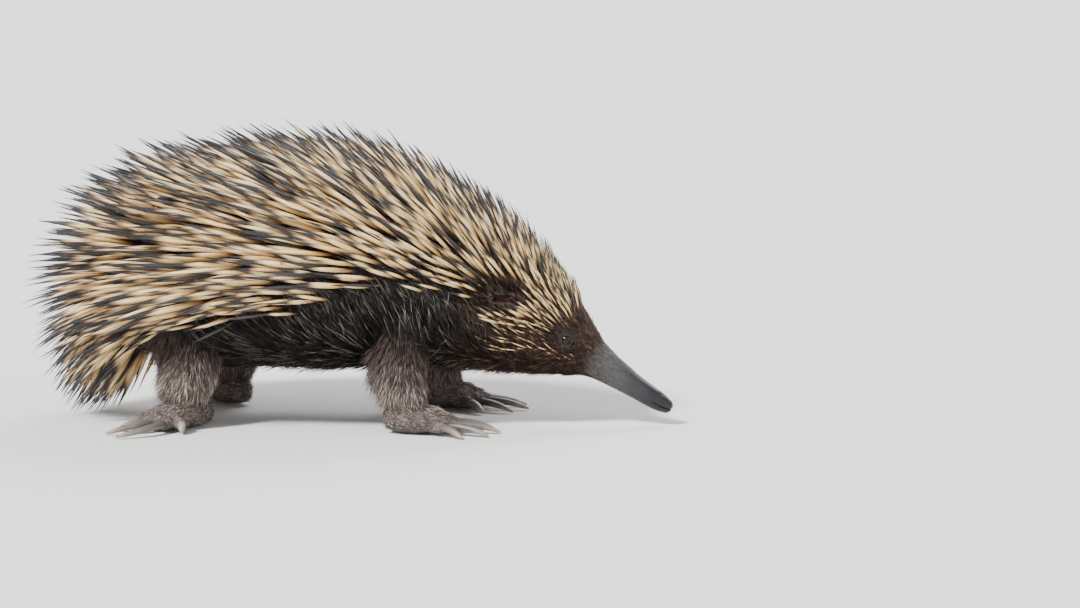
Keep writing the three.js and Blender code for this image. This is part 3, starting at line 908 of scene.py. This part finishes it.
# Roots are drawn at a density that changes over the surface, up to the densest place of the table
def furStrands(random, start, end, table, rowsAt):
    densest = max(row[0] for row in table.values())
    t, angle = bodyPlaces(random, start, end, int(areaBetween(start, end) * 1e4 * densest))
    kept = random.uniform(0, densest, len(t)) < rowsAt(t, angle)[0]
    kept &= ~inOvals(bodyPoint(t, angle), "noHair")
    t, angle, count = t[kept], angle[kept], kept.sum()
    _, length, half, spread, droop = (np.broadcast_to(value, t.shape) for value in rowsAt(t, angle))
    points = bodyPoint(t, angle)
    lock, swing, rise = hair["clump"]
    lock = lock * np.clip(length / 14, 0.35, 1.2).mean()
    tilt = spread + random.normal(0, hair["aimChance"], count) + rise * drift(points, lock, 4)
    tilt = tilt.clip(*hair["tiltLimits"]) * degree
    hang = hair["hang"] * band(elevationOf(angle), *hair["hangBand"]) * (droop > 0)
    down = np.sign(np.cos(angle)) * (droop + hang) * np.clip(np.cos(angle) ** 2 * 1.4, 0, 1)
    turn = (-down + random.normal(0, hair["aimChance"], count) + swing * drift(points, lock, 5)) * degree
    root, out, kept = settled(bodyPoint(t, angle, skinDepth(t)), bodyNormal(t, angle))
    aim = raised(laid(aimsOf(t, angle, 0 * tilt, turn)[0], out), out, tilt)
    chance = random.normal(0, hair["lengthChance"], count).clip(*hair["lengthLimits"])
    length = length * (1 + chance) * mm
    strand = {
        "root": root, "aim": aim, "out": out, "length": length, "shade": random.uniform(0, 1, count),
        "half": half * mm * random.uniform(*hair["halfChance"], count),
        "lift": random.normal(*hair["lift"], count),
        "spot": np.stack([angle, distanceAt(t)], 1),
        "warm": smoothStep(lineShare("neck"), lineShare("crown", 0.6), t),
        "grey": smoothStep(lineShare("face", 0.6), lineShare("beakRoot", 0.2), t),
    }
    return chosen(strand, kept)


legFur = {
    "hairs": 165,  # a square centimetre
    "length": (7.5, 3),  # mm, at the top and on the foot
    "half": (0.19, 0.12),
    "spread": (14, 6),
    "tiltLimits": (5, 45),
    "lengthChance": (0.7, 1.25),
    "lift": (0.1, 0.05),
    "lock": 6 * mm,
    "bareBelow": 2 * mm,
    "sole": -0.6,  # how far down the skin faces where no hair grows
    "buried": 0.3 * mm,  # how far from the skin a root is too deep in it to be grown
    "foot": (9 * mm, 26 * mm),  # heights over which the foot's hair changes to the leg's
    "toes": (9, 19, 0.6),  # mm from the foot's middle between which the hair thins, and by how much
    "toesFrom": 5 * mm,
    "toesBelow": 20 * mm,
    "fringe": (0.8, 9),  # how much longer it is behind the leg, and degrees more upright
    "fringeFrom": (16 * mm, 30 * mm),
    "warm": (22 * mm, 50 * mm),  # heights over which it turns dark
    "wander": (0.1, 0.45),  # each hair's own, and that of the locks
}


def limbFur(random, name, triangles):
    legName, sideName = name.split("_")
    leg, side = legs[legName], sides[sideName]
    a, b, c = triangles.transpose(1, 0, 2)
    normals = np.cross(b - a, c - a)
    area = np.linalg.norm(normals, axis=1) / 2
    count = int(area.sum() * 1e4 * legFur["hairs"])
    pick = random.choice(len(area), count, p=area / area.sum())
    u, v = random.uniform(0, 1, (2, count))
    flip = u + v > 1
    u, v = np.where(flip, 1 - u, u), np.where(flip, 1 - v, v)
    root = a[pick] + (b - a)[pick] * u[:, None] + (c - a)[pick] * v[:, None]
    out = unit(normals[pick])
    centre, heading = onSide(leg["toeCentre"], side), headingOf(leg["heading"], side)
    onToes = ((root - centre) @ heading > legFur["toesFrom"]) & (root[:, 2] < legFur["toesBelow"])
    start, end, thinned = legFur["toes"]
    reach = np.linalg.norm((root - centre)[:, :2], axis=1) / mm
    kept = (root[:, 2] > legFur["bareBelow"]) & (out[:, 2] > legFur["sole"])
    kept &= random.uniform(0, 1, count) > thinned * smoothStep(start, end, reach) * onToes
    kept[kept] = [skinTree.find_nearest(Vector(point))[3] < legFur["buried"] for point in root[kept]]
    root, out, count = root[kept], out[kept], kept.sum()
    low = 1 - smoothStep(*legFur["foot"], root[:, 2])
    ahead = unit(heading + 0.8 * unit(root - centre + [0, 0, 1e-5]) * [1, 1, 0])
    lie = np.array([-0.15, 0, -1]) * (1 - low)[:, None] + (ahead + [0, 0, -0.25]) * low[:, None]
    locks = np.stack([drift(root, legFur["lock"], layer) for layer in (6, 7, 8)], 1)
    own, shared = legFur["wander"]
    lie = laid(lie + random.normal(0, own, (count, 3)) + shared * locks, out)
    longer, upright = legFur["fringe"]
    fringe = smoothStep(0.2, 0.8, -out[:, 0]) * smoothStep(*legFur["fringeFrom"], root[:, 2])
    spread, chance = legFur["spread"]
    tilt = (spread + upright * fringe + random.normal(0, chance, count)).clip(*legFur["tiltLimits"]) * degree
    length = between(legFur["length"], low) * mm
    length = length * random.uniform(*legFur["lengthChance"], count) * (1 + longer * fringe)
    turn = np.arctan2(root[:, 1] - centre[1], root[:, 0] - centre[0]) / (2 * math.pi) + 0.5
    return {
        "root": root, "aim": unit(raised(lie, out, tilt)), "out": out, "length": length,
        "shade": random.uniform(0, 1, count),
        "half": between(legFur["half"], low) * mm,
        "lift": random.normal(*legFur["lift"], count),
        "spot": np.stack([list(limbTriangles).index(name) + 0.9 * turn, root[:, 2]], 1),
        "warm": smoothStep(*legFur["warm"], root[:, 2]),
        "grey": np.zeros(count),
    }


def makeFur():
    random = np.random.default_rng(hair["seed"])
    groups = bySide("fur", furStrands(random, tailEnd, neckStart, fur, torsoRows))
    groups["fur_tail"] = furStrands(random, 0, tailEnd, fur, tailRows)
    head = furStrands(random, neckStart, lineShare("beakMiddle"), headFur, headRows)
    isFace = head["spot"][:, 1] > distanceAt(lineShare("brow"))
    groups["fur_head"], groups["fur_face"] = chosen(head, ~isFace), chosen(head, isFace)
    limbs = {name: limbFur(random, name, triangles) for name, triangles in limbTriangles.items()}
    for legName in legs:
        groups[f"fur_{legName}_legs"] = together([limbs[f"{legName}_{sideName}"] for sideName in sides])
    print("fur", {name: len(strand["root"]) for name, strand in groups.items()})
    short = ("fur_face", "fur_front_legs", "fur_hind_legs")
    return {name: growMesh(name, strand, shortFinish if name in short else hair)
            for name, strand in groups.items()}


furPieces = makeFur()


# Claws: bent, blunt and a little flat, each rooted in its toe

clawFinish = {
    "columns": 16,
    "rows": 16,
    "tip": 0.3,
    "from": 20.3 * mm,  # where it leaves the toe, from the foot's middle
    "rooted": 2.4 * mm,
    "drop": 4.1 * mm,
}


def makeClaw(name, leg, toe, side):
    turn, reach, bend = toe
    turn += leg["heading"]
    reach, steps = reach * mm, clawFinish["rows"]
    ahead, half = headingOf(turn, side), np.array(leg["clawHalf"]) * mm
    at = onSide(leg["toeCentre"], side) + ahead * clawFinish["from"]
    centres, halves = [at - ahead * clawFinish["rooted"]], [half]
    for step in range(steps + 1):
        share = step / steps
        centres.append(at.copy())
        halves.append(half * math.sqrt(1 - (1 - clawFinish["tip"] ** 2) * share**2))
        at = at + headingOf(turn + bend * share, side) * reach / steps
        at[2] -= clawFinish["drop"] * 2 * share / (steps - 1)
    across = acrossOf(headingOf(turn + bend / 2, side))
    claw = ovalTube(name, centres, halves, across, clawFinish["columns"], steps, 0.8)
    away = np.linalg.norm(readPoints(claw) - centres[0], axis=1)
    setValues(claw.data, "along", np.clip(away / reach, 0, 1))
    activate(claw)
    bpy.ops.object.shade_smooth()
    return claw


claws = {f"{legName}_{sideName}_{digit}": makeClaw(f"horn_{legName}_{sideName}_{digit}", leg, toe, side)
         for legName, leg in legs.items() for sideName, side in sides.items()
         for digit, toe in enumerate(leg["toes"], 1)}
print("claws", len(claws))


# The share of a quarter turn from each eye's outward middle is kept for its iris
def makeEye(name, side):
    matrix = surfaceFrame(eye, side) @ Matrix.Translation((0, 0, -eye["sunk"] * mm))
    deselect()
    bpy.ops.mesh.primitive_uv_sphere_add(segments=40, ring_count=28, radius=1)
    bead = named(bpy.context.object, name)
    bead.data.transform(matrix @ Matrix.Scale(eye["radius"] * mm, 4))
    bead.data.update()
    activate(bead)
    outward = unit(readPoints(bead) - np.array(matrix.translation)) @ np.array(matrix.to_3x3().col[2])
    setValues(bead.data, "iris", np.arccos(np.clip(outward, -1, 1)) / (math.pi / 2))
    bpy.ops.object.shade_smooth()
    return bead


eyes = {name: makeEye(f"bead_{name}", side) for name, side in sides.items()}
print("eyes", len(eyes))


# Materials: an input takes a value, a socket or the name of one of the mesh's attributes

def feed(tree, node, inputs):
    for key, value in inputs.items():
        if isinstance(value, str):
            value = addNode(tree, "Attribute", attribute_name=value).outputs["Fac"]
        if isinstance(value, bpy.types.NodeSocket):
            tree.links.new(value, node.inputs[key])
        else:
            node.inputs[key].default_value = value


def addNode(tree, kind, inputs=None, **settings):
    node = tree.nodes.new("ShaderNode" + kind)
    for key, value in settings.items():
        setattr(node, key, value)
    feed(tree, node, inputs or {})
    return node


def newMaterial(name, roughness):
    material = bpy.data.materials.new(name)
    material.use_nodes = True
    tree = material.node_tree
    shader = tree.nodes["Principled BSDF"]
    feed(tree, shader, {"Roughness": roughness})
    return material, tree, shader


def addRamp(tree, factor, stops):
    node = addNode(tree, "ValToRGB", {"Fac": factor})
    ramp = node.color_ramp
    while len(ramp.elements) < len(stops):
        ramp.elements.new(0.5)
    for element, (place, colour) in zip(ramp.elements, stops):
        element.position = place
        element.color = (*colour, 1)
    return node.outputs["Color"]


def addMix(tree, factor, first, second, blend="MIX"):
    second = (*second, 1) if isinstance(second, tuple) else second
    inputs = {0: factor, 6: first, 7: second}
    return addNode(tree, "Mix", inputs, data_type="RGBA", blend_type=blend).outputs[2]


def addRange(tree, value, limits, curve="LINEAR"):
    inputs = {"Value": value, **limits}
    return addNode(tree, "MapRange", inputs, interpolation_type=curve).outputs["Result"]


def addNoise(tree, place, scale, detail):
    inputs = {"Vector": place, "Scale": scale, "Detail": detail}
    return addNode(tree, "TexNoise", inputs).outputs["Fac"]


def placeIn(tree, space):
    return addNode(tree, "TexCoord").outputs[space]


def addBump(tree, shader, height, strength, distance):
    inputs = {"Height": height, "Strength": strength, "Distance": distance}
    feed(tree, shader, {"Normal": addNode(tree, "Bump", inputs).outputs["Normal"]})


def noiseRamp(tree, scale, stops, detail=3.0):
    return addRamp(tree, addNoise(tree, placeIn(tree, "Object"), scale, detail), stops)


# A colour darkened in soft spots: how much, the noise's scale, the spots' colour and where they begin and end
def spotted(tree, colour, share, scale, dark, limits, detail=3.0):
    spots = noiseRamp(tree, scale, [(limits[0], dark), (limits[1], (1, 1, 1))], detail)
    return addMix(tree, share, colour, spots, "MULTIPLY")


def spineMaterial():
    material, tree, shader = newMaterial("spine horn", 0.4)
    shaft = addRamp(tree, "along", [
        (0, (0.03, 0.014, 0.008)), (0.1, (0.2, 0.1, 0.04)),
        (0.22, (0.56, 0.37, 0.17)), (0.38, (0.86, 0.65, 0.34)), (0.7, (0.92, 0.75, 0.45))])
    tint = addRamp(tree, "shade", [
        (0, (0.82, 0.72, 0.58)), (0.3, (1, 0.95, 0.86)), (0.8, (1, 1, 1)), (1, (1, 0.87, 0.66))])
    colour = addMix(tree, 1.0, shaft, tint, "MULTIPLY")
    # The dark tips: slate grey, lightest at seven tenths of the length and black at the point; the slate grey
    # is partly the tips' own dark colour and partly painted sheen
    tip = addRamp(tree, "along", [
        (0.1, (0.03, 0.025, 0.024)), (0.7, (0.037, 0.034, 0.035)), (1, (0.01, 0.01, 0.011))])
    for before, after, part in ((0.2, 0.05, (0.33, 0.21, 0.12)), (0.1, 0, tip)):
        start, end = (addNode(tree, "Math", {0: "dark", 1: step}, operation="SUBTRACT").outputs[0]
                      for step in (before, after))
        share = addRange(tree, "along", {"From Min": start, "From Max": end}, "SMOOTHSTEP")
        colour = addMix(tree, share, colour, part)
    colour = spotted(tree, colour, 0.4, 700.0, (0.72, 0.68, 0.62), (0.3, 0.6))
    feed(tree, shader, {"Base Color": colour, "Specular IOR Level": 0.38})
    return material


# Colours at the root and the tip, of the paler hairs and how many they are, and what warm multiplies by. On
# the body's and the legs' fur the paler hairs are partly pale hairs and partly painted sheen
hairs = {
    "body fur": ((0.005, 0.0035, 0.0025), (0.011, 0.008, 0.006), (0.25, 0.217, 0.185), 0.13, (1, 1, 1)),
    "head fur": ((0.012, 0.008, 0.006), (0.04, 0.026, 0.018), (0.27, 0.19, 0.12), 0.09, (1.3, 0.9, 0.78)),
    "leg fur": ((0.1, 0.067, 0.056), (0.35, 0.262, 0.23), (0.74, 0.64, 0.57), 0.26, (0.2, 0.17, 0.16)),
}


def hairMaterial(name):
    root, tip, paleAndSheen, paleAndSheenShare, warm = hairs[name]
    material, tree, shader = newMaterial(name, 0.55)
    plain = addRamp(tree, "along", [(0, root), (1, tip)])
    # The paler hairs: partly their own pale colour, partly painted sheen on the body's and the legs' fur
    light = addRamp(tree, "along", [(0.1, root), (0.6, paleAndSheen)])
    isPaleAndSheen = addRange(tree, "shade", {"From Min": 0.98 - paleAndSheenShare, "From Max": 1.02 - paleAndSheenShare})
    tone = addRamp(tree, "shade", [(0, (0.3, 0.28, 0.27)), (0.45, (1, 1, 1))])
    colour = addMix(tree, isPaleAndSheen, addMix(tree, 1.0, plain, tone, "MULTIPLY"), light)
    colour = spotted(tree, colour, 0.7, 60.0, (0.6, 0.58, 0.56), (0.3, 0.7))
    colour = addMix(tree, "warm", colour, addMix(tree, 1.0, colour, warm, "MULTIPLY"))
    grey = addRamp(tree, "shade", [
        (0, (0.03, 0.027, 0.026)), (0.6, (0.1, 0.093, 0.09)), (1, (0.2, 0.19, 0.18))])
    feed(tree, shader, {"Base Color": addMix(tree, "grey", colour, grey), "Specular IOR Level": 0.35})
    return material


# Where the skin turns to beak, limb and bare inner skin, in mm
masks = {
    "beak": (134, 184),
    "limb": (22, 34),
    "limbBehind": 100,
    "bellySide": (44, 34),
    "bellyTop": (40, 32),
    "bellyFloor": 18,
}


# The skin's colours run from the dark body to the grey beak and legs by its own masks
def skinMaterial():
    x, y, z = (readPoints(skin) / mm).T
    start, end = masks["beak"]
    behind = masks["limbBehind"]
    inner = smoothStep(*masks["bellySide"], np.abs(y)) * smoothStep(*masks["bellyTop"], z)
    inner = inner * (z > masks["bellyFloor"]) * (np.abs(x) < behind)
    for side in sides.values():
        away = ovalShare(readPoints(skin), ear, side, ear["inner"])
        inner = np.maximum(inner, smoothStep(*ear["innerFade"], away))
    setValues(skin.data, "beak", np.clip((x - start) / (end - start), 0, 1))
    setValues(skin.data, "limb", np.where(x > behind, 0, 1 - smoothStep(*masks["limb"], z)))
    setValues(skin.data, "inner", inner)
    material, tree, shader = newMaterial("skin", 0.6)
    dark = noiseRamp(tree, 90.0, [(0.3, (0.012, 0.008, 0.006)), (0.7, (0.035, 0.022, 0.016))])
    grey = noiseRamp(tree, 160.0, [(0.3, (0.055, 0.045, 0.04)), (0.7, (0.16, 0.128, 0.115))])
    grey = spotted(tree, grey, 0.85, 700.0, (0.45, 0.43, 0.42), (0.4, 0.56), 5.0)
    beak = addRamp(tree, "beak", [
        (0.04, (0.045, 0.036, 0.032)), (0.27, (0.085, 0.08, 0.078)),
        (0.5, (0.03, 0.03, 0.033)), (0.8, (0.01, 0.01, 0.012))])
    beak = spotted(tree, beak, 0.8, 220.0, (0.6, 0.6, 0.6), (0.3, 0.7))
    colour = addMix(tree, "limb", dark, grey)
    colour = addMix(tree, "inner", colour, (0.08, 0.036, 0.028))
    colour = addMix(tree, addRange(tree, "beak", {"From Max": 0.1}), colour, beak)
    rough = addRange(tree, "beak", {"To Min": 0.7, "To Max": 0.34})
    feed(tree, shader, {"Base Color": colour, "Specular IOR Level": 0.35, "Roughness": rough})
    place = placeIn(tree, "Object")
    pits = addNode(tree, "TexVoronoi", {"Vector": place, "Scale": 1500.0}).outputs["Distance"]
    long = addNode(tree, "Mapping", {"Vector": place, "Scale": (1.0, 0.35, 0.35)}).outputs["Vector"]
    addBump(tree, shader, addMix(tree, 0.6, pits, addNoise(tree, long, 750.0, 4.0)), 0.5, 0.3 * mm)
    return material


def clawMaterial():
    material, tree, shader = newMaterial("claw horn", 0.42)
    horn = addRamp(tree, "along", [
        (0.02, (0.045, 0.036, 0.033)), (0.22, (0.12, 0.105, 0.1)),
        (0.75, (0.19, 0.166, 0.152)), (1, (0.34, 0.28, 0.23))])
    stretch = {"Vector": placeIn(tree, "UV"), "Scale": (26.0, 1.6, 1.0)}
    fibre = addNoise(tree, addNode(tree, "Mapping", stretch).outputs["Vector"], 1.0, 4.0)
    streak = addRamp(tree, fibre, [(0.35, (0.42, 0.385, 0.36)), (0.62, (1, 1, 1))])
    horn = addMix(tree, 0.75, horn, streak, "MULTIPLY")
    feed(tree, shader, {"Base Color": spotted(tree, horn, 0.7, 300.0, (0.72, 0.66, 0.6), (0.35, 0.65))})
    addBump(tree, shader, fibre, 0.45, 0.25 * mm)
    return material


def eyeMaterial():
    material, tree, shader = newMaterial("eye", 0.05)
    colour = addRamp(tree, "iris", [
        (0.2, (0.002, 0.002, 0.003)), (0.26, (0.02, 0.011, 0.007)),
        (0.5, (0.014, 0.008, 0.006)), (0.6, (0.003, 0.002, 0.002))])
    feed(tree, shader, {"Base Color": colour, "IOR": 1.28})
    return material


def dress(pieces, material):
    for piece in pieces:
        piece.data.materials.clear()
        piece.data.materials.append(material)
        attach(piece, "root")


dress([skin], skinMaterial())
dress(spines, spineMaterial())
dress(claws.values(), clawMaterial())
dress(eyes.values(), eyeMaterial())
for look, slot, names in (("body fur", "spiny_coat", ("left", "right", "tail")),
                          ("head fur", "head_fur", ("head", "face")),
                          ("leg fur", "leg_fur", ("front_legs", "hind_legs"))):
    dress([furPieces[f"fur_{name}"] for name in names], hairMaterial(look))
flesh = ["torso", "tail", "head", "beak"]
flesh += [f"ear_{side}" for side in sides] + [f"{leg}_leg_{side}" for leg in legs for side in sides]
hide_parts(*flesh)
for name, claw in claws.items():
    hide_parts(f"claw_{name}")
for name, bead in eyes.items():
    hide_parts(f"eye_{name}")
print("materials set")


# Floor and soft light

stage = {
    "floorSize": 40,
    "floor": (0.75, 0.74, 0.725, 1),
    "sky": [(0.02, (1, 1, 1)), (0.3, (0.32, 0.33, 0.345))],  # from the horizon up
    "skyStrength": 1.95,
    "key": ((-0.9, -1.5, 1.6), 12, 7.4),  # where it shines from, its spread in degrees, its strength
    "fill": ((1.8, -1.2, 0.9), 50, 0.7),
    "rim": ((0.4, 1.7, 1.5), 30, 2.0),
}


def addStage():
    deselect()
    bpy.ops.mesh.primitive_plane_add(size=stage["floorSize"])
    floor = bpy.context.object
    floor.name = "floor"
    material, tree, shader = newMaterial("floor", 0.9)
    feed(tree, shader, {"Base Color": stage["floor"]})
    floor.data.materials.append(material)
    world = bpy.data.worlds.new("studio")
    bpy.context.scene.world = world
    world.use_nodes = True
    tree = world.node_tree
    height = addNode(tree, "SeparateXYZ", {0: placeIn(tree, "Generated")}).outputs["Z"]
    sky = addRamp(tree, height, stage["sky"])
    feed(tree, tree.nodes["Background"], {"Color": sky, "Strength": stage["skyStrength"]})
    for name in ("key", "fill", "rim"):
        place, spread, power = stage[name]
        turn = (-Vector(place)).to_track_quat("-Z", "Y")
        bpy.ops.object.light_add(type="SUN", location=place, rotation=turn.to_euler())
        lamp = bpy.context.object
        lamp.name = name
        lamp.data.angle = spread * degree
        lamp.data.energy = power


addStage()
print("stage set")
